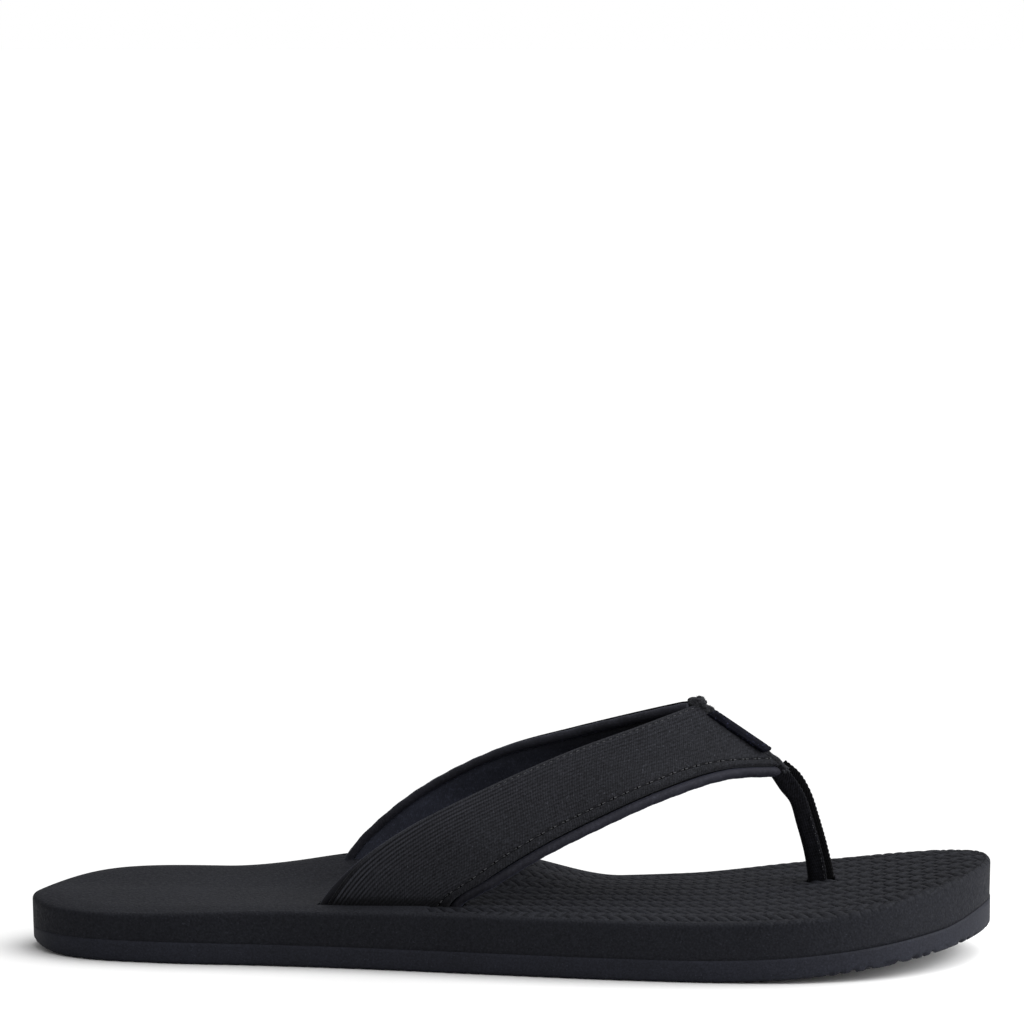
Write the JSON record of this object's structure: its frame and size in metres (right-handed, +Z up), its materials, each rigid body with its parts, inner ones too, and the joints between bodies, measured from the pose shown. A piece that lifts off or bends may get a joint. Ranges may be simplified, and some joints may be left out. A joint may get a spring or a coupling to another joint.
{
  "type": "flip flop",
  "caption": "Right-foot flip flop: textured foam footbed on a rubber outsole, with a padded woven thong strap joined to a webbing toe post.",
  "frame": {"origin": "on the ground under the middle of the sole's bounding box", "axes": "+X runs from heel to toe, +Y to the inner (big-toe) side of a right foot, +Z up"},
  "size_m": [0.285, 0.097, 0.0756],
  "materials": {
    "footbed_foam": "matte closed-cell foam, near black",
    "outsole_rubber": "matte rubber, very dark navy",
    "face_textile": "ribbed woven textile, near black",
    "padding": "thin padding foam sheet",
    "webbing": "narrow ribbed webbing, black",
    "lining": "smooth lining, very dark navy",
    "thread": "sewing thread, charcoal",
    "anchor_plastic": "moulded plastic, black",
    "label_film": "smooth blank patch, satin"
  },
  "bodies": {
    "root": {"footbed": "footbed_foam", "outsole": "outsole_rubber", "crest_seam": "face_textile", "crest_label": "label_film", "toe_post_webbing": "webbing", "toe_post_stitching": "thread", "toe_anchor_disc": "anchor_plastic", "strap_face_lateral": "face_textile", "strap_foam_lateral": "padding", "strap_tape_lateral": "webbing", "strap_lining_lateral": "lining", "rear_binding_lateral": "lining", "front_binding_lateral": "lining", "rear_stitching_lateral": "thread", "front_stitching_lateral": "thread", "strap_face_medial": "face_textile", "strap_foam_medial": "padding", "strap_tape_medial": "webbing", "strap_lining_medial": "lining", "rear_binding_medial": "lining", "front_binding_medial": "lining", "rear_stitching_medial": "thread", "front_stitching_medial": "thread"}
  },
  "joints": []
}
